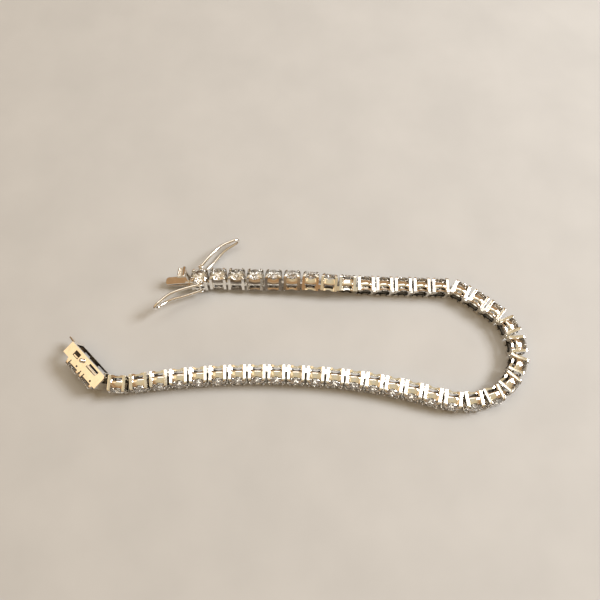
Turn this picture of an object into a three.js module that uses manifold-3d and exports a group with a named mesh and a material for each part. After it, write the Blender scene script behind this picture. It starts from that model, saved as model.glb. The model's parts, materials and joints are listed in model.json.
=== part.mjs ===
// An open tennis bracelet lying on its side: forty-one hinged basket settings between a spring
// tongue with two wire safety latches and a box clasp. Millimetres, +Z up, floor at z = 0.
//
// Every setting is drawn in its own frame: x runs along the bracelet towards the box, y across
// it, and z from the wrist side up to the stone. The chain is then laid link by link along a
// table of turns and rolls.
import * as THREE from "three";
import { mergeVertices } from "three/addons/utils/BufferGeometryUtils.js";
import Module from "manifold-3d";

const wasm = await Module();
wasm.setup();

// ---------------------------------------------------------------- driving dimensions

const PITCH = 4.25;            // hinge pin to hinge pin
const HALF_WIDTH = 1.88;       // setting, outer faces of its posts
const HEIGHT = 3.8;            // wrist side to prong tips
const POST = 0.62;             // posts, as seen from the side
const PANEL = 0.5;             // posts and rails, as seen from above
const RAIL = 0.42;             // height of the bars that join the posts
const GALLERY_Z = 1.4;         // underside of the middle rail
const SEAT_TOP = 2.95;
const STONE_R = 1.95;
const GIRDLE_Z = 3.15;         // widest level of a stone in a plain setting

const PIN_X = -1.5;            // hinge pin, between the two posts that face the tongue
const PIN_Z = 0.7;
const PIN_R = 0.17;
const LUG_R = 0.52;            // rounded end of a lug, and its half height
const LUG_HOLE_R = 0.34;
const LUG_HALF_WIDTH = 0.55;
const LUG_X = PITCH + PIN_X;   // the lug's hole sits on the next setting's pin

const BOX = { length: 11.2, halfWidth: 2.1, mouthHeight: 2.9, seatHeight: 3.4, top: 4.5 };
const BOX_WALL = 0.5;
const BOX_PIN = { x: 0.45, z: 0.52 };
const BOX_LUG_X = 2.56;        // the lug that the box's pin takes is a little shorter
const BOX_STONES = [2.8, 7.2];
const BOX_PRONG = { along: 1.68, across: 1.72, radius: 0.33 };
const BOX_GIRDLE_Z = 4.1;
const RECESS = 1.9;            // mouth recess that takes the thumb pad
const LIP = 2.2;               // pointed lip past the mouth
const PEG = { x: 6.4, z: 1.25, radius: 0.5, neck: 0.25 };

const TONGUE = { tip: -7.9, halfWidth: 1.0, thickness: 0.3, z: 0.35 };
const SPRING_RISE = 8;         // degrees that the upper leaf stands open
const PAD = { x: -3.45, length: 1.5, halfWidth: 1.3, z: 4.1, thickness: 0.5 };

const HINGE = { x: 0.35, y: 2.55, z: 2.1, radius: 0.2 };
const LATCH = { wire: 0.3, eye: 0.54, eyeHole: 0.35, eyeHeight: 0.5, eyeAt: 1.2 };

// Each latch is open by so many degrees from lying along the box. The far one's hinge leans
// towards the tongue, which lets that latch lie level.
const LATCHES = [
  { name: "latch_far", side: 1, open: 128, lean: 10 },
  { name: "latch_near", side: -1, open: 21, lean: 0 },
];

// Laying table. Each row covers the settings up to and including `to`; every setting turns by
// `turn` degrees from the one before it, and roll and lift run evenly to the row's own values.
// Roll 0 has the stone on top, 90 has it facing out of the loop. Lift raises a setting that its
// neighbours carry clear of the floor.
const LAY = [
  { to: 0, turn: -0.3, roll: 12, lift: 0.5 },
  { to: 1, turn: -0.1, roll: 20, lift: 0.2 },
  { to: 5, turn: -0.5, roll: 44, lift: 0 },
  { to: 7, turn: -2.3, roll: 61, lift: 0 },
  { to: 8, turn: 3.5, roll: 76, lift: 0 },
  { to: 9, turn: 1.5, roll: 87, lift: 0 },
  { to: 10, turn: 0.2, roll: 90, lift: 0 },
  { to: 13, turn: -0.1, roll: 90, lift: 0 },
  { to: 14, turn: -26.3, roll: 90, lift: 0 },
  { to: 15, turn: -9.5, roll: 90, lift: 0 },
  { to: 16, turn: -2.5, roll: 90, lift: 0 },
  { to: 17, turn: -27, roll: 90, lift: 0 },
  { to: 18, turn: -19.5, roll: 90, lift: 0 },
  { to: 19, turn: -27.3, roll: 88, lift: 0 },
  { to: 20, turn: -19.2, roll: 87, lift: 0 },
  { to: 21, turn: -27, roll: 86, lift: 0 },
  { to: 23, turn: -15.4, roll: 86, lift: 0 },
  { to: 24, turn: -4, roll: 86, lift: 0 },
  { to: 26, turn: 1.5, roll: 86, lift: 0 },
  { to: 29, turn: 2.3, roll: 87, lift: 0 },
  { to: 37, turn: 1.4, roll: 88, lift: 0 },
  { to: 39, turn: 0.8, roll: 94, lift: 0.2 },
  { to: 40, turn: -10, roll: 100, lift: 0.45 },
];
const BOX_LAY = { turn: -42, roll: 102, lift: 0.28 };

// ---------------------------------------------------------------- materials

const silver = () => new THREE.MeshStandardMaterial({ color: 0xdcd9d2, metalness: 1, roughness: 0.16 });
const crystal = () => new THREE.MeshStandardMaterial({ color: 0xf2f5f8, metalness: 0, roughness: 0.03 });

// ---------------------------------------------------------------- solids

function solid(geometry) {
  const bare = geometry.clone();
  bare.deleteAttribute("normal");
  bare.deleteAttribute("uv");
  const merged = mergeVertices(bare, 1e-5);
  const mesh = new wasm.Mesh({
    numProp: 3,
    vertProperties: new Float32Array(merged.attributes.position.array),
    triVerts: new Uint32Array(merged.index.array),
  });
  return new wasm.Manifold(mesh);
}

function geometryOf(manifold) {
  const mesh = manifold.getMesh();
  const geometry = new THREE.BufferGeometry();
  geometry.setAttribute("position", new THREE.BufferAttribute(mesh.vertProperties, 3));
  geometry.setIndex(new THREE.BufferAttribute(mesh.triVerts, 1));
  return geometry;
}

const join = (pieces) => pieces.reduce((whole, piece) => whole.add(piece));
const cut = (whole, pieces) => pieces.reduce((left, piece) => left.subtract(piece), whole);

// A block between two corners.
function block(x0, x1, y0, y1, z0, z1) {
  const geometry = new THREE.BoxGeometry(x1 - x0, y1 - y0, z1 - z0);
  geometry.translate((x0 + x1) / 2, (y0 + y1) / 2, (z0 + z1) / 2);
  return solid(geometry);
}

// A rod through a point, along y or z.
function rod(axis, x, y, z, radius, length, sides = 8) {
  const geometry = new THREE.CylinderGeometry(radius, radius, length, sides);
  if (axis === "z") geometry.rotateX(Math.PI / 2);
  geometry.translate(x, y, z);
  return solid(geometry);
}

// A plate drawn in the x-z plane and given a thickness across the bracelet, centred on y.
function plate(outline, thickness, y = 0, holes = []) {
  const points = (pairs) => pairs.map(([x, z]) => new THREE.Vector2(x, z));
  const shape = new THREE.Shape(points(outline));
  shape.holes = holes.map((hole) => new THREE.Path(points(hole)));
  const geometry = new THREE.ExtrudeGeometry(shape, { depth: thickness, bevelEnabled: false });
  geometry.rotateX(Math.PI / 2);
  geometry.translate(0, y + thickness / 2, 0);
  return solid(geometry);
}

// Both signs of a side.
const both = (make) => [-1, 1].map(make);

// A round stone: flat table, crown, thin girdle and pavilion, grown by `gap` to cut its seat.
function stoneGeometry(x, girdleZ, gap = 0) {
  const profile = [
    [0, -1.7 - gap * 1.5],
    [STONE_R + gap, -0.05 - gap * 0.4],
    [STONE_R + gap, 0.05 + gap * 0.4],
    [1.1, 0.6 + gap],
    [0, 0.6 + gap],
  ];
  const geometry = new THREE.LatheGeometry(profile.map(([r, z]) => new THREE.Vector2(r, z)), 12);
  geometry.rotateX(Math.PI / 2);
  geometry.translate(x, 0, girdleZ);
  return geometry;
}

// Two side panels, each a pair of posts with base, gallery and seat rails between them, and the
// end wall that joins them on the box side: what every setting shares.
function basket() {
  const inner = HALF_WIDTH - POST;
  const outline = [
    [-HALF_WIDTH, 0], [HALF_WIDTH, 0], [HALF_WIDTH, HEIGHT], [inner, HEIGHT], [inner, SEAT_TOP],
    [-inner, SEAT_TOP], [-inner, HEIGHT], [-HALF_WIDTH, HEIGHT],
  ];
  const windows = [[RAIL, GALLERY_Z], [GALLERY_Z + RAIL, SEAT_TOP - RAIL]]
    .map(([low, high]) => [[-inner, low], [inner, low], [inner, high], [-inner, high]]);
  const panels = both((side) => plate(outline, PANEL, side * (HALF_WIDTH - PANEL / 2), windows));
  return join([...panels, endWall(1, 0, SEAT_TOP)]);
}

// A wall between the two posts of one end, its inner face flush with theirs.
function endWall(end, low, high) {
  const faces = [end * (HALF_WIDTH - POST), end * (HALF_WIDTH - 0.15)];
  const across = HALF_WIDTH - PANEL;
  return block(Math.min(...faces), Math.max(...faces), -across, across, low, high);
}

// The lug at the box end and the hole in it for the next pin.
function lug(reach = LUG_X) {
  const arm = block(HALF_WIDTH - 0.3, reach, -LUG_HALF_WIDTH, LUG_HALF_WIDTH,
    PIN_Z - LUG_R, PIN_Z + LUG_R);
  const end = rod("y", reach, 0, PIN_Z, LUG_R / Math.cos(Math.PI / 8), LUG_HALF_WIDTH * 2, 8);
  const hole = rod("y", reach, 0, PIN_Z, LUG_HOLE_R, LUG_HALF_WIDTH * 4, 6);
  return cut(join([arm, end]), [hole]);
}

function plainLink(reach) {
  const hingePin = rod("y", PIN_X, 0, PIN_Z, PIN_R, (HALF_WIDTH - PANEL / 2) * 2, 6);
  return join([basket(), lug(reach), hingePin, endWall(-1, 1.8, SEAT_TOP)]);
}

// The first setting: lower tongue leaf, back web and a hinge rod on each side for a latch.
function tongueLink() {
  const across = HALF_WIDTH - PANEL / 2;
  const leaf = block(TONGUE.tip, -HALF_WIDTH + 0.3, -TONGUE.halfWidth, TONGUE.halfWidth,
    TONGUE.z, TONGUE.z + TONGUE.thickness);
  const hinges = LATCHES.map(({ side, lean }) => {
    const y = side * HINGE.y;
    const inner = side * across;
    const ear = block(HINGE.x - 0.25, HINGE.x + 0.25, Math.min(inner, y), Math.max(inner, y),
      GALLERY_Z + 0.1, GALLERY_Z + 1.1);
    const hinge = new THREE.CylinderGeometry(HINGE.radius, HINGE.radius, 3, 6);
    hinge.rotateX(Math.PI / 2);
    hinge.rotateY(THREE.MathUtils.degToRad(-lean));
    hinge.translate(HINGE.x, y, HINGE.z);
    return join([ear, solid(hinge)]);
  });
  const seat = solid(stoneGeometry(0, GIRDLE_Z, 0.08));
  return cut(join([basket(), lug(), endWall(-1, 0, SEAT_TOP), leaf, ...hinges]), [seat]);
}

// The upper leaf, drawn flat from the fold and then lifted about it, with riser and thumb pad.
function tongueSpring() {
  const gap = 0.12;
  const bottom = TONGUE.z + TONGUE.thickness + gap;
  const root = PAD.x + PAD.length / 2 + 0.45;
  const leaf = block(TONGUE.tip, root, -TONGUE.halfWidth, TONGUE.halfWidth,
    bottom, bottom + TONGUE.thickness);
  const riser = block(root - TONGUE.thickness, root, -0.7, 0.7, bottom, PAD.z);
  const pad = block(root - PAD.length, root, -PAD.halfWidth, PAD.halfWidth,
    PAD.z - PAD.thickness, PAD.z - 0.15);
  const ribs = [0, 1, 2, 3].map((i) => {
    const x = root - 0.15 - i * 0.4;
    return block(x - 0.14, x + 0.14, -PAD.halfWidth, PAD.halfWidth, PAD.z - 0.3, PAD.z);
  });
  const geometry = geometryOf(join([leaf, riser, pad, ...ribs]));
  geometry.translate(-TONGUE.tip, 0, -bottom);
  geometry.rotateY(THREE.MathUtils.degToRad(-SPRING_RISE));
  geometry.translate(TONGUE.tip, 0, bottom);
  return geometry;
}

// One safety latch in its closed position along +x from its hinge: a loop of wire that spreads
// into a long lens, flares outwards for the fingernail and ends in two eyes around the rod.
function latch() {
  const leg = [
    [0.4, 0, 1.2], [2.1, 0, 1.36], [4.4, 0, 1.4], [6.4, 0.02, 1.15], [8, 0.38, 0.85],
    [9.4, 1, 0.6], [10.6, 1.55, 0.48],
  ].map(([x, y, z]) => new THREE.Vector3(x, y, z));
  const tip = new THREE.Vector3(11.05, 1.77, 0);
  const back = leg.map((p) => new THREE.Vector3(p.x, p.y, -p.z)).reverse();
  const path = new THREE.CatmullRomCurve3([...leg, tip, ...back], false, "centripetal");
  const section = new THREE.Shape([0, 1, 2, 3, 4, 5].map((i) =>
    new THREE.Vector2(LATCH.wire, 0).rotateAround(new THREE.Vector2(), (i * Math.PI) / 3)));
  const wire = solid(new THREE.ExtrudeGeometry(section, { steps: 26, extrudePath: path }));
  const eyes = both((side) => rod("z", 0, 0, side * LATCH.eyeAt, LATCH.eye, LATCH.eyeHeight, 8));
  const holes = both((side) => rod("z", 0, 0, side * LATCH.eyeAt, LATCH.eyeHole, 1, 8));
  return geometryOf(cut(join([wire, ...eyes]), holes));
}

// The box: a hollow case open at the mouth, with a seat for two stones on its roof.
function boxClasp() {
  const { length, halfWidth, mouthHeight, seatHeight, top } = BOX;
  const side = [
    [0.4, 0], [length, 0], [length, mouthHeight], [length - RECESS, mouthHeight],
    [length - RECESS, seatHeight], [0.3, seatHeight], [0, seatHeight - 0.6], [0, 0.4],
  ];
  const body = plate(side, halfWidth * 2);
  const lip = solid(new THREE.ExtrudeGeometry(
    new THREE.Shape([[length - 0.2, -1.1], [length + LIP, -0.3], [length + LIP, 0.3], [length - 0.2, 1.1]]
      .map(([x, y]) => new THREE.Vector2(x, y))), { depth: 0.4, bevelEnabled: false }));
  const inner = halfWidth - BOX_WALL;
  const socket = block(1.7, length + 1, -inner, inner, 0.4, 2.6);
  const recess = block(length - RECESS, length + 1, -inner, inner, 0.4, mouthHeight + 1);
  const hingePocket = block(-1, 1.35, -1.3, 1.3, -1, 1.75);
  const azures = BOX_STONES.map((x) => rod("z", x, 0, 3, 1.25, 2, 10));
  const windows = [
    block(7.5, 9.1, -3, 3, 0.6, 1.9),
    block(1.75, 4.6, -3, 3, 0.45, 0.85),
  ];
  const postSlots = [4.05, 5, 8.45].map((x) =>
    block(x - 0.12, x + 0.12, -3, 3, seatHeight - 0.45, top));
  const seats = BOX_STONES.map((x) => solid(stoneGeometry(x, BOX_GIRDLE_Z, 0.08)));
  const prongs = BOX_STONES.flatMap((stone) => [-1, 1].flatMap((sx) => both((sy) =>
    rod("z", stone + sx * BOX_PRONG.along, sy * BOX_PRONG.across, (top + 3) / 2,
      BOX_PRONG.radius, top - 3, 6))));
  const pegs = both((sy) => {
    const ball = new THREE.SphereGeometry(PEG.radius, 8, 6);
    ball.translate(PEG.x, sy * (halfWidth + PEG.radius * 0.95), PEG.z);
    const neck = rod("y", PEG.x, sy * halfWidth, PEG.z, PEG.neck, 0.7, 6);
    return join([solid(ball), neck]);
  });
  const pin = rod("y", BOX_PIN.x, 0, BOX_PIN.z, PIN_R, inner * 2);
  const hollow = cut(join([body, lip]), [socket, recess, hingePocket, ...azures, ...windows, ...postSlots]);
  return cut(join([hollow, pin, ...prongs, ...pegs]), seats);
}

// ---------------------------------------------------------------- laying the chain

// Heading, roll and lift of every setting, from the laying table.
function layRows() {
  const rows = [];
  let heading = 0;
  let last = LAY[0];
  for (const row of LAY) {
    const first = rows.length;
    for (let i = first; i <= row.to; i += 1) {
      const share = (i - first + 1) / (row.to - first + 1);
      heading += row.turn;
      rows.push({
        heading,
        roll: THREE.MathUtils.lerp(last.roll, row.roll, share),
        lift: THREE.MathUtils.lerp(last.lift, row.lift, share),
      });
    }
    last = row;
  }
  return rows;
}

// A frame that holds one setting. Roll and lift give its height over the floor, and it is put
// where its pin, at x and z in its own frame, runs through the lug's hole at `at`. The lug is
// free to slide along the pin, which takes up what the two heights differ by.
function settingFrame(row, at, pin, halfWidth, height) {
  const roll = THREE.MathUtils.degToRad(row.roll);
  const frame = new THREE.Group();
  frame.rotation.set(-roll, 0, THREE.MathUtils.degToRad(row.heading), "ZYX");
  const rest = halfWidth * Math.sin(roll) + height * Math.max(0, -Math.cos(roll)) + row.lift;
  const slide = (rest + pin.z * Math.cos(roll) - (at?.z ?? rest)) / Math.sin(roll);
  const anchor = new THREE.Vector3(pin.x, at ? slide : 0, pin.z).applyEuler(frame.rotation);
  frame.position.set((at?.x ?? 0) - anchor.x, (at?.y ?? 0) - anchor.y, rest);
  return frame;
}

function addPiece(frame, name, geometry, material) {
  const mesh = new THREE.Mesh(geometry, material);
  mesh.name = name;
  frame.add(mesh);
  return mesh;
}

const bracelet = new THREE.Group();
const rows = layRows();
const linkGeometry = geometryOf(plainLink(LUG_X));
const lastLinkGeometry = geometryOf(plainLink(BOX_LUG_X));
const pin = { x: PIN_X, z: PIN_Z };
let lugHole = null;

rows.forEach((row, index) => {
  const frame = settingFrame(row, lugHole, pin, HALF_WIDTH, HEIGHT);
  const last = index === rows.length - 1;
  const reach = last ? BOX_LUG_X : LUG_X;
  lugHole = new THREE.Vector3(reach, 0, PIN_Z).applyEuler(frame.rotation).add(frame.position);
  bracelet.add(frame);
  if (index > 0) {
    const geometry = last ? lastLinkGeometry : linkGeometry;
    addPiece(frame, `link_${String(index).padStart(2, "0")}`, geometry, silver());
    return;
  }
  addPiece(frame, "tongue_link", geometryOf(tongueLink()), silver());
  addPiece(frame, "tongue_stone", stoneGeometry(0, GIRDLE_Z), crystal());
  addPiece(frame, "tongue_spring", tongueSpring(), silver());
  for (const { name, side, open, lean } of LATCHES) {
    const geometry = latch();
    if (side > 0) geometry.rotateX(Math.PI);
    const piece = addPiece(frame, name, geometry, silver());
    piece.position.set(HINGE.x, side * HINGE.y, HINGE.z);
    piece.rotation.y = THREE.MathUtils.degToRad(-lean);
    piece.rotation.z = Math.PI - side * THREE.MathUtils.degToRad(open);
  }
});

const boxHeading = rows[rows.length - 1].heading + BOX_LAY.turn;
const boxFrame = settingFrame({ ...BOX_LAY, heading: boxHeading }, lugHole, BOX_PIN,
  BOX.halfWidth, BOX.top);
bracelet.add(boxFrame);
addPiece(boxFrame, "box_clasp", geometryOf(boxClasp()), silver());
BOX_STONES.forEach((x, i) => {
  addPiece(boxFrame, `box_stone_${i + 1}`, stoneGeometry(x, BOX_GIRDLE_Z), crystal());
});

// The bracelet stands over the origin: its box is centred there and its lowest point is at z = 0.
bracelet.updateMatrixWorld(true);
const extent = new THREE.Box3().setFromObject(bracelet, true);
const centre = extent.getCenter(new THREE.Vector3());
bracelet.position.set(-centre.x, -centre.y, -extent.min.z);
bracelet.updateMatrixWorld(true);

export default bracelet;
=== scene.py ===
"""Looks of an open tennis bracelet that lies on its side: forty-one claw settings with round
stones between a spring tongue with two wire safety latches and a box clasp.

Every piece is modelled in millimetres in its own frame: x runs along the bracelet towards the
box, y across it, and z from the wrist side up to the stone. It is then laid in its place.
"""

import json
import math

import bmesh
import bpy
from mathutils import Matrix, Vector

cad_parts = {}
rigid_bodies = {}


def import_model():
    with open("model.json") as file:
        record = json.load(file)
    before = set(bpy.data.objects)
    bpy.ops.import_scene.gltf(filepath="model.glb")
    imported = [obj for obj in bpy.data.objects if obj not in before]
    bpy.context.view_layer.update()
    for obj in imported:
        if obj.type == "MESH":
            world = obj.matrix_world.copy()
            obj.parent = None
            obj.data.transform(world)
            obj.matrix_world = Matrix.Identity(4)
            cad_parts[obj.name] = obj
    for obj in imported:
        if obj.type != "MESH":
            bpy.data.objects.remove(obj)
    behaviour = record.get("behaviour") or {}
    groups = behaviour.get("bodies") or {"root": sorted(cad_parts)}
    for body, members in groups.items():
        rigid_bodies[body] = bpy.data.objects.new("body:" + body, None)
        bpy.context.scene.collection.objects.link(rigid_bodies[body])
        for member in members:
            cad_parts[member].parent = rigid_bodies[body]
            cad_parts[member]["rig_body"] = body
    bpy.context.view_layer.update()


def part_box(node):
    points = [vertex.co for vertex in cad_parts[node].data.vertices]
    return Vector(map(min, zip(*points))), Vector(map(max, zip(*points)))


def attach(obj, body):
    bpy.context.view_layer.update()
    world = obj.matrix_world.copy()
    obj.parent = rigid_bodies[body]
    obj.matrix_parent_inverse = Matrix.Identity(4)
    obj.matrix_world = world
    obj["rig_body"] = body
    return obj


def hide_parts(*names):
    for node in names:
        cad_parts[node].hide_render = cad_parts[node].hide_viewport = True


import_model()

MM = 0.001

# ------------------------------------------------------------------ sizes, in millimetres

PITCH = 4.25
HALF = 1.88             # outer faces of a setting's posts
HEIGHT = 3.8            # wrist side to claw tips
POST_ALONG = 0.62
POST_ACROSS = 0.56
CLAW_STEP = 0.36        # height of each of a claw's two bends
GIRDLE_Z = 3.15
STONE_R = 1.95
SEAT_DEPTH = 1.72
SEAT_GAP = 0.03
# the cup's outline, height and half width: foot strip, waist, rounded gallery and rim
CUP = ((0.02, HALF - 0.06), (0.48, HALF - 0.2), (1.14, HALF - 0.24), (1.36, HALF - 0.1),
       (1.62, HALF - 0.05), (2.2, HALF - 0.17), (2.86, HALF - 0.42))
CUP_BORE = HALF - 0.6
SHADED_INSIDE_TOP = 1.45         # the inside is rougher and painted near black as painted shade up to here
PIN = (-1.5, 0.7)       # hinge pin, x and z
PIN_R = 0.2
PIN_HOLE_R = 0.3
LUG_R = 0.52
LUG_HALF = 0.55
LUG_REACH = PITCH + PIN[0]
LAST_LUG_REACH = 2.56

BOX_LENGTH = 11.2
BOX_HALF = 2.1
BOX_TOP = 4.5
BOX_SEAT = 3.4
BOX_MOUTH = 2.9
BOX_RECESS = 1.9
BOX_LIP = 2.2
BOX_PIN = (0.45, 0.52)
BOX_STONES = (2.8, 7.2)
BOX_GIRDLE_Z = 4.1
BOX_WALL = 0.45
BOX_PLATE = 0.4         # thickness of the base
BOX_CEILING = 2.6       # inside height of the socket
BOX_PEG = (6.4, 1.25)   # x and z
ACROSS = 3              # past both side faces

TONGUE_TIP = -7.9
TONGUE_HALF = 1.0
LEAF = 0.3
LEAF_Z = 0.35
SPRING_RISE = 8
SPRING_Z = 0.77         # underside of the upper leaf at its fold
PAD_TOP = 4.0
KNOB_R = 0.4
BEAD_R = 0.2
BEAD_ROWS = (-3.95, -3.6, -3.25)
BEADS_ACROSS = (-1.0, -0.6, -0.2, 0.2, 0.6, 1.0)

HINGE = (0.35, 2.55, 2.1)
ROD_R = 0.2
ROD_LENGTH = 3.0
WIRE = 0.35
EYE_R = 0.44
EYE_WIRE = 0.2
EYE_Z = 1.2

SHARP = 1.2             # radians between the faces of an edge that counts as square

# name, side, degrees open, degrees that the hinge leans towards the tongue
LATCHES = (("latch_far", 1, 128, 10), ("latch_near", -1, 21, 0))

# last setting of the row, turn of each setting, roll and lift at the row's end
LAY = (
    (0, -0.3, 12, 0.5), (1, -0.1, 20, 0.2), (5, -0.5, 44, 0), (7, -2.3, 61, 0),
    (8, 3.5, 76, 0), (9, 1.5, 87, 0), (10, 0.2, 90, 0), (13, -0.1, 90, 0),
    (14, -26.3, 90, 0), (15, -9.5, 90, 0), (16, -2.5, 90, 0), (17, -27, 90, 0),
    (18, -19.5, 90, 0), (19, -27.3, 88, 0), (20, -19.2, 87, 0), (21, -27, 86, 0),
    (23, -15.4, 86, 0), (24, -4, 86, 0), (26, 1.5, 86, 0), (29, 2.3, 87, 0),
    (37, 1.4, 88, 0), (39, 0.8, 94, 0.2), (40, -10, 100, 0.45),
)
BOX_LAY = (-42, 102, 0.28)


# ------------------------------------------------------------------ bench work

def let_go():
    """Back to object mode with nothing selected."""
    if bpy.context.object and bpy.context.object.mode == "EDIT":
        bpy.ops.object.mode_set(mode="OBJECT")
    bpy.ops.object.select_all(action="DESELECT")


def hold(*pieces):
    let_go()
    for piece in pieces:
        piece.select_set(True)
    bpy.context.view_layer.objects.active = pieces[0]


def pick(piece, kind, wanted):
    """Opens the piece in edit mode and selects the parts of it that are wanted."""
    hold(piece)
    bpy.ops.object.mode_set(mode="EDIT")
    bpy.ops.mesh.select_mode(type=kind)
    bpy.ops.mesh.select_all(action="DESELECT")
    mesh = bmesh.from_edit_mesh(piece.data)
    parts = {"VERT": mesh.verts, "EDGE": mesh.edges, "FACE": mesh.faces}[kind]
    for part in parts:
        if wanted(part):
            part.select_set(True)
    mesh.select_flush_mode()
    bmesh.update_edit_mesh(piece.data)


def span(edge, axis):
    """How far an edge runs along one axis."""
    first, second = edge.verts
    return abs(getattr(first.co, axis) - getattr(second.co, axis))


def worked_in():
    """The new primitive, with its place and size worked into its mesh."""
    bpy.ops.object.transform_apply(location=True, rotation=True, scale=True)
    return bpy.context.object


def soften(piece, width, segments=2, wanted=lambda edge: edge.calc_face_angle(0) > 0.6):
    """Rounds the edges that are wanted."""
    pick(piece, "EDGE", wanted)
    bpy.ops.mesh.bevel(offset=width, offset_type="OFFSET", segments=segments, profile=0.6,
                       clamp_overlap=True)
    let_go()


def bar(low, high, edge=0.08, segments=2):
    """A bar between two corners with softened edges."""
    let_go()
    low, high = Vector(low), Vector(high)
    bpy.ops.mesh.primitive_cube_add(size=1, location=(low + high) / 2, scale=high - low)
    piece = worked_in()
    if edge:
        soften(piece, edge, segments)
    return piece


def block(low, high):
    """A bar between two corners with its edges left sharp."""
    return bar(low, high, 0.0)


def ball(radius, at, segments, rings):
    let_go()
    bpy.ops.mesh.primitive_uv_sphere_add(segments=segments, ring_count=rings, radius=radius,
                                         location=at)
    return worked_in()


def wire(radius, axis, centre, length, sides=14, edge=0.0):
    """A straight length of round wire along one axis."""
    let_go()
    turn = {"x": (0, math.pi / 2, 0), "y": (math.pi / 2, 0, 0), "z": (0, 0, 0)}[axis]
    bpy.ops.mesh.primitive_cylinder_add(vertices=sides, radius=radius, depth=length,
                                        location=centre, rotation=turn)
    piece = worked_in()
    if edge:
        soften(piece, edge, 2, lambda e: e.calc_face_angle(0) > SHARP)
    return piece


def solder(first, *others):
    """Joins pieces that are soldered together into one closed solid."""
    return shape_with("UNION", first, others)


def cut_away(first, *others):
    return shape_with("DIFFERENCE", first, others)


def shape_with(action, first, others):
    let_go()
    group = bpy.data.collections.new("bench")
    bpy.context.scene.collection.children.link(group)
    for other in others:
        group.objects.link(other)
    change = first.modifiers.new("shape", "BOOLEAN")
    change.operation = action
    change.operand_type = "COLLECTION"
    change.solver = "EXACT"
    change.collection = group
    hold(first)
    bpy.ops.object.modifier_apply(modifier=change.name)
    for other in others:
        bpy.data.objects.remove(other)
    bpy.data.collections.remove(group)
    return first


def clean(piece, angle=38):
    """Merges doubles, turns the faces outwards and shades round faces smooth, flat ones flat."""
    pick(piece, "VERT", lambda v: True)
    bpy.ops.mesh.remove_doubles(threshold=0.002)
    bpy.ops.mesh.normals_make_consistent(inside=False)
    let_go()
    hold(piece)
    bpy.ops.object.shade_smooth_by_angle(angle=math.radians(angle))
    flat = piece.modifiers.new("flat faces", "WEIGHTED_NORMAL")
    flat.keep_sharp = True
    bpy.ops.object.modifier_apply(modifier=flat.name)
    return piece


def dress(piece, *finishes):
    piece.data.materials.clear()
    for finish in finishes:
        piece.data.materials.append(finish)


def lay_copy(master, name, place, body, slot, *nodes):
    """A copy with its own mesh, laid in its place in metres and riding on a body."""
    piece = bpy.data.objects.new(name, master.data.copy())
    piece.data.name = name
    bpy.context.scene.collection.objects.link(piece)
    piece.data.transform(Matrix.Scale(MM, 4) @ place)
    piece.data.update()
    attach(piece, body)
    if nodes:
        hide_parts(*nodes)
    return piece


# ------------------------------------------------------------------ finishes

def finish_nodes(name):
    finish = bpy.data.materials.new(name)
    finish.use_nodes = True
    nodes = finish.node_tree.nodes
    shader = nodes["Principled BSDF"]
    place = nodes.new("ShaderNodeTexCoord")
    return finish, nodes, finish.node_tree.links, shader, place


def speckle(nodes, links, place, scale, detail, low, high):
    """Noise over the piece, spread between two values."""
    noise = nodes.new("ShaderNodeTexNoise")
    noise.inputs["Scale"].default_value = scale
    noise.inputs["Detail"].default_value = detail
    links.new(place.outputs["Object"], noise.inputs["Vector"])
    spread = nodes.new("ShaderNodeMapRange")
    spread.inputs["From Min"].default_value = 0.3
    spread.inputs["From Max"].default_value = 0.7
    spread.inputs["To Min"].default_value = low
    spread.inputs["To Max"].default_value = high
    links.new(noise.outputs["Fac"], spread.inputs["Value"])
    return spread.outputs["Result"]


def two_colours(nodes, links, shader, share, first, second):
    """Gives the shader a base colour that goes from one colour to another."""
    tint = nodes.new("ShaderNodeMix")
    tint.data_type = "RGBA"
    tint.inputs["A"].default_value = (*first, 1)
    tint.inputs["B"].default_value = (*second, 1)
    links.new(share, tint.inputs["Factor"])
    links.new(tint.outputs["Result"], shader.inputs["Base Color"])


def metal(name, bright, dull, rough_low, rough_high, bump):
    """White metal: bright where it is polished, duller in soft patches, with fine marks."""
    finish, nodes, links, shader, place = finish_nodes(name)
    shader.inputs["Metallic"].default_value = 1.0
    patches = speckle(nodes, links, place, 900, 3, 0.0, 1.0)
    two_colours(nodes, links, shader, patches, bright, dull)
    rough = speckle(nodes, links, place, 2600, 4, rough_low, rough_high)
    links.new(rough, shader.inputs["Roughness"])
    marks = speckle(nodes, links, place, 5200, 5, 0.0, 1.0)
    relief = nodes.new("ShaderNodeBump")
    relief.inputs["Strength"].default_value = bump
    relief.inputs["Distance"].default_value = 0.00002
    links.new(marks, relief.inputs["Height"])
    links.new(relief.outputs["Normal"], shader.inputs["Normal"])
    return finish


def crystal(name):
    """Clear cut stone with a trace of cloud that varies from stone to stone."""
    finish, nodes, links, shader, place = finish_nodes(name)
    shader.inputs["IOR"].default_value = 2.4
    shader.inputs["Transmission Weight"].default_value = 0.95
    shader.inputs["Roughness"].default_value = 0.0
    cloud = speckle(nodes, links, place, 300, 2, 0.0, 1.0)
    two_colours(nodes, links, shader, cloud, (0.96, 0.98, 1.0), (1.0, 0.97, 0.92))
    return finish


def floor_finish(name):
    finish, nodes, links, shader, place = finish_nodes(name)
    grain = speckle(nodes, links, place, 60, 3, 0.0, 1.0)
    two_colours(nodes, links, shader, grain, (0.53, 0.54, 0.55), (0.57, 0.58, 0.59))
    shader.inputs["Roughness"].default_value = 0.8
    shader.inputs["Specular IOR Level"].default_value = 0.2
    return finish


polished = metal("polished_silver", (0.95, 0.93, 0.89), (0.86, 0.83, 0.78), 0.04, 0.12, 0.12)
# Near-black silver for the insides of the cups and the box: its rough, bumpy surface is the real
# unpolished inside; its near-black colour is painted shade.
shaded_silver = metal("painted_shade_silver", (0.10, 0.09, 0.08), (0.04, 0.035, 0.03), 0.3, 0.45, 0.4)
clear_stone = crystal("clear_stone")


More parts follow.
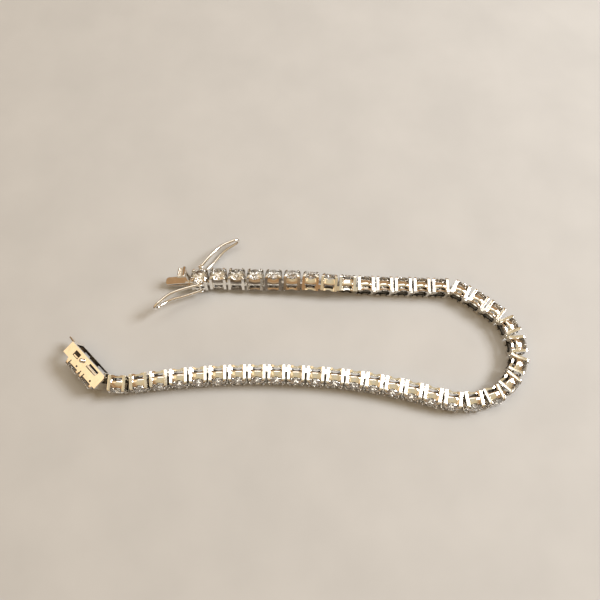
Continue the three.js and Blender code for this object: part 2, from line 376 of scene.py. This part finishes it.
# ------------------------------------------------------------------ laying table

def turn_about(axis, degrees):
    return Matrix.Rotation(math.radians(degrees), 4, axis)


def seat_place(heading, roll, lift, at, pin, half, height):
    """Place of a setting whose pin runs through the lug's hole at `at`."""
    turned = turn_about("Z", heading) @ turn_about("X", -roll)
    lean = math.radians(roll)
    rest = half * math.sin(lean) + height * max(0.0, -math.cos(lean)) + lift
    slide = 0.0
    if at:
        slide = (rest + pin[1] * math.cos(lean) - at.z) / math.sin(lean)
    anchor = turned @ Vector((pin[0], slide, pin[1]))
    start = at or Vector((0, 0, 0))
    return Matrix.Translation((start.x - anchor.x, start.y - anchor.y, rest)) @ turned


def lay_out():
    """Places of all settings and of the box."""
    places = []
    heading, hole = 0.0, None
    roll_before, lift_before = LAY[0][2], LAY[0][3]
    for last, turn, roll, lift in LAY:
        first = len(places)
        for i in range(first, last + 1):
            share = (i - first + 1) / (last - first + 1)
            heading += turn
            place = seat_place(heading, roll_before + (roll - roll_before) * share,
                               lift_before + (lift - lift_before) * share,
                               hole, PIN, HALF, HEIGHT)
            reach = LAST_LUG_REACH if i == LAY[-1][0] else LUG_REACH
            hole = place @ Vector((reach, 0, PIN[1]))
            places.append(place)
        roll_before, lift_before = roll, lift
    turn, roll, lift = BOX_LAY
    box = seat_place(heading + turn, roll, lift, hole, BOX_PIN, BOX_HALF, BOX_TOP)
    return places, box


def over_frame(places, box, node="link_12", index=12):
    """Moves the layout so that one setting stands exactly on its solid in the frame."""
    low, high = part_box(node)
    corners = [places[index] @ Vector((x, y, z))
               for x in (-HALF, HALF) for y in (-HALF, HALF) for z in (0, HEIGHT)]
    shift = Matrix.Translation((low.x / MM - min(c.x for c in corners),
                                high.y / MM - max(c.y for c in corners), 0))
    return [shift @ place for place in places], shift @ box


# ------------------------------------------------------------------ settings

def claw_post(sx, sy, foot=0.0, top=HEIGHT, along=POST_ALONG, across=POST_ACROSS,
              centre=None, lean=0.17):
    """A post with its claw bent in over the stone's edge."""
    let_go()
    x, y = centre or (sx * (HALF - along / 2), sy * (HALF - across / 2))
    shoulder = top - 2 * CLAW_STEP
    bpy.ops.mesh.primitive_cube_add(size=1, location=(x, y, (foot + shoulder) / 2),
                                    scale=(along, across, shoulder - foot))
    piece = worked_in()
    pick(piece, "FACE", lambda f: f.normal.z > 0.9)
    end = Vector((x, y, shoulder))
    for inward, narrow in ((lean * 0.45, 0.94), (lean * 1.5, 0.66)):
        step = Vector((-sx * inward, -sy * inward, CLAW_STEP))
        bpy.ops.mesh.extrude_region_move(TRANSFORM_OT_translate={"value": step})
        end += step
        bpy.ops.transform.resize(value=(narrow, narrow, 1), center_override=end)
    let_go()
    soften(piece, 0.07, 2, lambda e: e.calc_face_angle(0) > 0.5)
    return piece


def cup(profile, roundness=0.25):
    """A square cup drawn by the half width at each height; its sides swell a little in plan."""
    let_go()
    heights = [z for z, _ in profile]
    low, high = heights[0], heights[-1]
    bpy.ops.mesh.primitive_cube_add(size=1, location=(0, 0, (low + high) / 2),
                                    scale=(2, 2, high - low))
    piece = worked_in()
    if len(profile) > 2:
        pick(piece, "EDGE", lambda e: span(e, "z") > 0.01)
        bpy.ops.mesh.subdivide(number_cuts=len(profile) - 2)
        let_go()
    pick(piece, "EDGE", lambda e: span(e, "z") < 0.01)
    bpy.ops.mesh.subdivide(number_cuts=5)
    let_go()
    swell = piece.modifiers.new("swell", "CAST")
    swell.cast_type = "CYLINDER"
    swell.factor = roundness
    swell.use_z = False
    hold(piece)
    bpy.ops.object.modifier_apply(modifier=swell.name)
    reach = max(v.co.y for v in piece.data.vertices)
    rings = [low + (high - low) * i / (len(profile) - 1) for i in range(len(profile))]
    levels = range(len(profile))
    # Rings that sink go from the lowest up and rings that rise from the highest down, so that
    # no ring passes another on its way.
    sinking = [i for i in levels if heights[i] < rings[i]]
    rising = [i for i in reversed(levels) if heights[i] >= rings[i]]
    for i in (*sinking, *rising):
        at = rings[i]
        pick(piece, "VERT", lambda v: abs(v.co.z - at) < 0.001)
        size = profile[i][1] / reach
        bpy.ops.transform.resize(value=(size, size, 1), center_override=(0, 0, at))
        bpy.ops.transform.translate(value=(0, 0, heights[i] - at))
        let_go()
    return piece


def side_slot(width, low, high, rise=0.1):
    """A slot across both side walls, with round ends and a slight arch."""
    piece = block((-width / 2, -ACROSS, low), (width / 2, ACROSS, high))
    pick(piece, "EDGE", lambda e: span(e, "x") > 0.5)
    bpy.ops.mesh.subdivide(number_cuts=5)
    let_go()
    pick(piece, "VERT", lambda v: abs(v.co.x) < width * 0.36)
    bpy.ops.transform.translate(value=(0, 0, rise * 0.55))
    let_go()
    pick(piece, "VERT", lambda v: abs(v.co.x) < width * 0.2)
    bpy.ops.transform.translate(value=(0, 0, rise * 0.45))
    let_go()
    soften(piece, (high - low) * 0.35, 2,
           lambda e: span(e, "y") > 1 and abs(e.verts[0].co.x) > width * 0.45)
    return piece


def lug(reach):
    """The lug that takes the next setting's pin, with its round end and hole."""
    z = PIN[1]
    arm = block((HALF - 0.45, -LUG_HALF, z - LUG_R), (reach, LUG_HALF, z + LUG_R))
    end = wire(LUG_R, "y", (reach, 0, z), LUG_HALF * 2, 20)
    hole = wire(PIN_HOLE_R, "y", (reach, 0, z), LUG_HALF * 4, 16)
    return cut_away(solder(arm, end), hole)


def claws_and_cup():
    """Four posts with claws around a slotted cup: a flared foot strip and a rounded gallery."""
    posts = [claw_post(sx, sy) for sx in (-1, 1) for sy in (-1, 1)]
    whole = solder(cup(CUP, 0.45), *posts)
    bore = cup(((-1, CUP_BORE), (4, CUP_BORE)), 0.3)
    window = side_slot(2.1, 0.48, 1.1, 0.14)
    foot_arch = side_slot(1.6, -0.5, 0.05, 0.2)
    rim_notch = side_slot(0.8, 2.62, 3.4, 0.0)
    return cut_away(whole, bore, window, foot_arch, rim_notch)


def seat_cut(x=0.0, z=GIRDLE_Z):
    """The cone that a stone's pavilion needs."""
    let_go()
    bpy.ops.mesh.primitive_cone_add(vertices=32, radius1=0.0, radius2=STONE_R + SEAT_GAP,
                                    depth=SEAT_DEPTH,
                                    location=(x, 0, z - SEAT_DEPTH / 2 - SEAT_GAP))
    return worked_in()


def plain_setting(reach):
    """A setting with its pin, its lug and the pocket that the lug before it turns in."""
    pocket = block((-2.5, -0.78, -0.5), (-0.9, 0.78, 1.45))
    pin = wire(PIN_R, "y", (PIN[0], 0, PIN[1]), HALF * 2 - 0.2, 14)
    whole = cut_away(claws_and_cup(), pocket)
    whole = cut_away(solder(whole, lug(reach), pin), seat_cut())
    return paint_inner_shade(clean(whole))


def paint_inner_shade(piece):
    """Faces that look in towards the stone's axis get the rough near-black silver: painted shade
    inside the cup, on a real unpolished surface.
    """
    dress(piece, polished, shaded_silver)
    for face in piece.data.polygons:
        c, n = face.center, face.normal
        inward = Vector((c.x, c.y)).dot(Vector((n.x, n.y)))
        within = max(abs(c.x), abs(c.y)) < HALF - 0.35
        if within and c.z < SHADED_INSIDE_TOP and inward < -0.2:
            face.material_index = 1
    return piece


def brilliant():
    """A round brilliant: rings of facet corners, closed by the flat facets between them."""
    table_r, star_r, lower_r = 1.12, 1.5, 0.5
    girdle, depth, crown = 0.05, 1.7, 0.6
    slope = (crown - girdle) / (STONE_R - table_r)
    under = (depth - girdle) / STONE_R
    half_turn = math.cos(math.radians(22.5))
    rings = (
        (8, table_r, crown, 0),
        (8, star_r, crown - slope * (star_r * half_turn - table_r), 22.5),
        (16, STONE_R, girdle, 0),
        (16, STONE_R, -girdle, 0),
        (8, lower_r, -girdle - under * (STONE_R - lower_r * half_turn), 22.5),
    )
    let_go()
    # a cone only opens the mesh that the rings are drawn in
    bpy.ops.mesh.primitive_cone_add(vertices=8, radius1=0.3, radius2=0.0, depth=0.3,
                                    location=(0, 0, 0))
    piece = bpy.context.object
    bpy.ops.object.mode_set(mode="EDIT")
    bpy.ops.mesh.select_all(action="SELECT")
    bpy.ops.mesh.delete(type="VERT")
    for count, radius, z, turn in rings:
        bpy.ops.mesh.primitive_circle_add(vertices=count, radius=radius, location=(0, 0, z),
                                          rotation=(0, 0, math.radians(turn)))
    bpy.ops.mesh.primitive_circle_add(vertices=3, radius=0.02, location=(0, 0, -depth))
    bpy.ops.mesh.select_all(action="SELECT")
    bpy.ops.mesh.convex_hull()
    bpy.ops.mesh.select_all(action="SELECT")
    bpy.ops.mesh.dissolve_limited(angle_limit=math.radians(0.6))
    bpy.ops.mesh.normals_make_consistent(inside=False)
    let_go()
    dress(piece, clear_stone)
    return piece


# ------------------------------------------------------------------ tongue and latches

def leaf(end, z, corner, rounds):
    """A leaf of the tongue from its tip to one end, with the tip's corners cut off."""
    blade = block((TONGUE_TIP, -TONGUE_HALF, z), (end, TONGUE_HALF, z + LEAF))
    soften(blade, corner, 1, lambda e: span(e, "x") < 0.01 and span(e, "y") < 0.01
           and e.verts[0].co.x < TONGUE_TIP + 0.9)
    soften(blade, 0.06, rounds, lambda e: e.calc_face_angle(0) > SHARP)
    return blade


def tongue_setting():
    """The first setting, with the lower leaf of the tongue and the latches' hinge rods."""
    parts = [lug(LUG_REACH), leaf(-HALF + 0.4, LEAF_Z, 0.4, 1)]
    for _, side, _, lean in LATCHES:
        rod = wire(ROD_R, "z", (0, 0, 0), ROD_LENGTH, 16, 0.06)
        rod.data.transform(Matrix.Translation((HINGE[0], side * HINGE[1], HINGE[2]))
                           @ turn_about("Y", -lean))
        inner, outer = sorted((side * 1.6, side * HINGE[1]))
        ear = bar((HINGE[0] - 0.25, inner, 1.5), (HINGE[0] + 0.25, outer, 2.5), 0.08)
        parts += [rod, ear]
    whole = cut_away(solder(claws_and_cup(), *parts), seat_cut())
    return paint_inner_shade(clean(whole))


def tongue_spring():
    """The upper leaf with its riser and beaded thumb pad, flat before it is lifted."""
    upper = leaf(-2.25, SPRING_Z, 0.42, 2)
    riser = bar((-2.55, -0.7, SPRING_Z + 0.02), (-2.25, 0.7, PAD_TOP), 0.06)
    pad = bar((-4.25, -1.3, PAD_TOP - 0.4), (-2.3, 1.3, PAD_TOP), 0.14)
    knob = wire(KNOB_R, "y", (-2.72, 0, PAD_TOP), 2.6, 18, 0.12)
    beads = [ball(BEAD_R, (x, y, PAD_TOP), 12, 8) for x in BEAD_ROWS for y in BEADS_ACROSS]
    whole = clean(solder(upper, riser, pad, knob, *beads))
    dress(whole, polished)
    return whole


def latch_wire():
    """One safety latch along +x from its hinge: a lens of wire that flares out at its tip."""
    leg = ((0.36, 0, EYE_Z), (2.1, 0, 1.36), (4.4, 0, 1.4), (6.4, 0.02, 1.22), (8, 0.38, 1.0),
           (9.4, 1, 0.8), (10.4, 1.46, 0.62))
    route = [*leg, (10.98, 1.74, 0.0), *((x, y, -z) for x, y, z in reversed(leg))]
    let_go()
    bpy.ops.curve.primitive_nurbs_path_add()
    line = bpy.context.object
    line.data.splines.clear()
    spline = line.data.splines.new("BEZIER")
    spline.bezier_points.add(len(route) - 1)
    for point, at in zip(spline.bezier_points, route):
        point.co = at
        point.handle_left_type = point.handle_right_type = "AUTO"
    line.data.dimensions = "3D"
    line.data.resolution_u = 6
    line.data.bevel_depth = WIRE
    line.data.bevel_resolution = 3
    line.data.use_fill_caps = True
    hold(line)
    bpy.ops.object.convert(target="MESH")
    bent = bpy.context.object
    eyes = []
    for side in (-1, 1):
        let_go()
        bpy.ops.mesh.primitive_torus_add(major_radius=EYE_R, minor_radius=EYE_WIRE,
                                         major_segments=20, minor_segments=10,
                                         location=(0, 0, side * EYE_Z))
        eyes.append(worked_in())
    pick(bent, "VERT", lambda v: True)
    bpy.ops.mesh.remove_doubles(threshold=0.001)
    bpy.ops.mesh.normals_make_consistent(inside=False)
    let_go()
    whole = clean(solder(bent, *eyes), 50)
    dress(whole, polished)
    return whole


# ------------------------------------------------------------------ box clasp

def box_case():
    """The hollow box, open at its mouth and base, with a seat for two stones on its roof."""
    mouth = BOX_LENGTH - BOX_RECESS
    case = block((0.0, -BOX_HALF, 0.0), (BOX_LENGTH, BOX_HALF, BOX_MOUTH))
    pick(case, "EDGE", lambda e: all(v.co.x < 0.1 and v.co.z < 0.1 for v in e.verts))
    bpy.ops.mesh.bevel(offset=0.4, segments=1)
    let_go()
    roof = block((0.0, -BOX_HALF, BOX_MOUTH - 0.6), (mouth, BOX_HALF, BOX_SEAT))
    lip = block((BOX_LENGTH - 0.3, -1.2, 0.0), (BOX_LENGTH + BOX_LIP, 1.2, 0.45))
    end = Vector((BOX_LENGTH + BOX_LIP, 0, 0.2))
    pick(lip, "FACE", lambda f: f.normal.x > 0.9)
    bpy.ops.transform.resize(value=(1, 0.4, 0.8), center_override=end)
    let_go()
    soften(lip, 0.07, 2, lambda e: e.calc_face_angle(0) > SHARP
           and any(v.co.x > BOX_LENGTH for v in e.verts))
    body = solder(case, roof, lip)
    inner = BOX_HALF - BOX_WALL
    socket = block((1.7, -inner, BOX_PLATE), (BOX_LENGTH + 1, inner, BOX_CEILING))
    open_end = block((mouth, -inner, BOX_PLATE), (BOX_LENGTH + 1, inner, BOX_MOUTH + 1))
    lug_room = block((-1, -1.3, -1), (1.35, 1.3, 1.75))
    window = block((7.5, -ACROSS, 0.6), (9.1, ACROSS, 1.9))
    long_slot = block((1.75, -ACROSS, 0.42), (4.6, ACROSS, 0.95))
    thin_slot = block((2.0, -ACROSS, 1.36), (5.0, ACROSS, 1.56))
    base_opening = block((1.6, -1.45, -1), (10.4, 1.45, 0.5))
    gaps = [block((x - 0.13, -ACROSS, BOX_SEAT - 0.55), (x + 0.13, ACROSS, BOX_TOP))
            for x in (4.0, 5.0, 8.4)]
    side_holes = [wire(0.24, "y", (x, 0, 2.95), 5, 16) for x in (1.9, 6.5)]
    stone_holes = [wire(1.25, "z", (x, 0, 3), 2.4, 28) for x in BOX_STONES]
    body = cut_away(body, socket, open_end, lug_room, window, long_slot, thin_slot,
                    base_opening, *gaps, *side_holes, *stone_holes)
    body = cut_away(body, *(seat_cut(x, BOX_GIRDLE_Z) for x in BOX_STONES))
    trim = body.modifiers.new("edges", "BEVEL")
    trim.width = 0.07
    trim.segments = 2
    trim.limit_method = "ANGLE"
    trim.angle_limit = math.radians(50)
    hold(body)
    bpy.ops.object.modifier_apply(modifier=trim.name)
    extras = [wire(0.19, "y", (BOX_PIN[0], 0, BOX_PIN[1]), BOX_HALF * 2 - 0.3, 14)]
    for x in BOX_STONES:
        for sx in (-1, 1):
            for sy in (-1, 1):
                extras.append(claw_post(sx, sy, 2.4, BOX_TOP + 0.02, 0.6, 0.56,
                                        (x + sx * 1.68, sy * 1.8), 0.15))
    peg_x, peg_z = BOX_PEG
    for sy in (-1, 1):
        extras.append(wire(0.27, "y", (peg_x, sy * (BOX_HALF + 0.15), peg_z), 0.7, 14))
        extras.append(wire(0.12, "x", (3.5, sy * BOX_HALF, 1.15), 3.3, 10))
        extras.append(ball(0.5, (peg_x, sy * (BOX_HALF + 0.47), peg_z), 20, 12))
    whole = clean(solder(body, *extras))
    dress(whole, polished, shaded_silver)
    # The socket's inside faces get the rough near-black silver: painted shade inside the box.
    for face in whole.data.polygons:
        c = face.center
        between_walls = abs(c.y) < inner + 0.02
        below_ceiling = 0.05 < c.z < BOX_CEILING + 0.02
        if between_walls and below_ceiling and 1.5 < c.x < BOX_LENGTH - 0.1:
            face.material_index = 1
    return whole


# ------------------------------------------------------------------ the bracelet

places, box_place = over_frame(*lay_out())

setting = plain_setting(LUG_REACH)
last_setting = plain_setting(LAST_LUG_REACH)
stone = brilliant()
raise_to = Matrix.Translation((0, 0, GIRDLE_Z))

for i in range(1, LAY[-1][0] + 1):
    number = f"{i:02d}"
    master = last_setting if i == LAY[-1][0] else setting
    lay_copy(master, "setting_" + number, places[i], "root", "silver", "link_" + number)
    twist = turn_about("Z", (i * 37) % 45)
    lay_copy(stone, "stone_" + number, places[i] @ raise_to @ twist, "root", "stones")

tongue_place = places[0]
lay_copy(tongue_setting(), "tongue_setting", tongue_place, "root", "silver", "tongue_link")
lay_copy(stone, "tongue_brilliant", tongue_place @ raise_to, "root", "stones", "tongue_stone")
fold = Matrix.Translation((TONGUE_TIP, 0, SPRING_Z))
lay_copy(tongue_spring(), "thumb_spring",
         tongue_place @ fold @ turn_about("Y", -SPRING_RISE) @ fold.inverted(),
         "tongue_spring", "silver", "tongue_spring")
latch = latch_wire()
for name, side, open_by, lean in LATCHES:
    place = (tongue_place @ Matrix.Translation((HINGE[0], side * HINGE[1], HINGE[2]))
             @ turn_about("Y", -lean) @ turn_about("Z", 180 - side * open_by))
    if side > 0:
        place = place @ turn_about("X", 180)
    lay_copy(latch, name.replace("latch", "safety_latch"), place, name, "silver", name)

lay_copy(box_case(), "box_case", box_place, "root", "silver", "box_clasp")
for i, x in enumerate(BOX_STONES, 1):
    at = box_place @ Matrix.Translation((x, 0, BOX_GIRDLE_Z))
    lay_copy(stone, f"box_brilliant_{i}", at, "root", "stones", f"box_stone_{i}")

# the bench pieces that the copies were made from are taken away
for piece in list(bpy.context.scene.objects):
    if piece.type == "MESH" and "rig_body" not in piece:
        bpy.data.objects.remove(piece)


# ------------------------------------------------------------------ floor, light and camera

NEUTRAL = (1.0, 0.99, 0.98)
WARM = (1.0, 0.72, 0.42)
BRACELET = (0, 0, 0)
BOX_SIDE = (-0.045, -0.01, 0)

# name, place, size, power, colour and what the light looks at, in metres and watts
LIGHTS = (
    ("overhead_light", (0.0, 0.30, 0.70), (0.56, 0.34), 1.0, NEUTRAL, BRACELET),
    ("window_light", (0.45, 0.10, 0.42), (0.22, 0.22), 3.2, NEUTRAL, BRACELET),
    ("warm_wall", (-0.54, -0.01, 0.64), (0.44, 0.46), 0.42, WARM, BOX_SIDE),
)

# The room around it, by the height of the direction looked in: a brown foot, a dark band,
# then tan, copper, sand and cream up to the ceiling.
ROOM = (
    (0.0, (0.34, 0.29, 0.24)),
    (0.30, (0.12, 0.08, 0.05)),
    (0.48, (0.62, 0.42, 0.24)),
    (0.66, (0.52, 0.27, 0.11)),
    (0.80, (0.80, 0.62, 0.38)),
    (0.93, (0.90, 0.74, 0.46)),
    (1.0, (0.86, 0.76, 0.58)),
)
ROOM_STRENGTH = 0.75

CAMERA_AT = (0.00055, -0.04282, 0.12516)
CAMERA_TILT = 21.27
CAMERA_LENS = 34.68

let_go()
bpy.ops.mesh.primitive_plane_add(size=6, location=(0, 0, -0.00001))
table_top = bpy.context.object
table_top.name = "table_top"
dress(table_top, floor_finish("pale_table"))


def soft_light(name, at, size, power, colour, target):
    """A rectangular soft light that looks at its target."""
    lamp = bpy.data.lights.new(name, "AREA")
    lamp.shape = "RECTANGLE"
    lamp.size, lamp.size_y = size
    lamp.energy = power
    lamp.color = colour
    holder = bpy.data.objects.new(name, lamp)
    bpy.context.scene.collection.objects.link(holder)
    holder.location = at
    holder.rotation_euler = (Vector(target) - Vector(at)).to_track_quat("-Z", "Y").to_euler()


for light in LIGHTS:
    soft_light(*light)

world = bpy.data.worlds.new("room")
bpy.context.scene.world = world
world.use_nodes = True
world_nodes = world.node_tree.nodes
world_links = world.node_tree.links
toward = world_nodes.new("ShaderNodeTexCoord")
split = world_nodes.new("ShaderNodeSeparateXYZ")
ramp = world_nodes.new("ShaderNodeValToRGB")
world_links.new(toward.outputs["Generated"], split.inputs["Vector"])
world_links.new(split.outputs["Z"], ramp.inputs["Fac"])
world_links.new(ramp.outputs["Color"], world_nodes["Background"].inputs["Color"])
stops = ramp.color_ramp.elements
for stop, (position, colour) in zip(stops, (ROOM[0], ROOM[-1])):
    stop.position = position
    stop.color = (*colour, 1)
for position, colour in ROOM[1:-1]:
    stop = stops.new(position)
    stop.color = (*colour, 1)
world_nodes["Background"].inputs["Strength"].default_value = ROOM_STRENGTH
bpy.context.scene.view_settings.view_transform = "Standard"

camera = bpy.data.cameras.new("camera")
camera.lens = CAMERA_LENS
camera.sensor_width = 36
camera.clip_start = 0.005
camera.clip_end = 20
viewer = bpy.data.objects.new("camera", camera)
bpy.context.scene.collection.objects.link(viewer)
viewer.location = CAMERA_AT
viewer.rotation_euler = (math.radians(CAMERA_TILT), 0, 0)
bpy.context.scene.camera = viewer
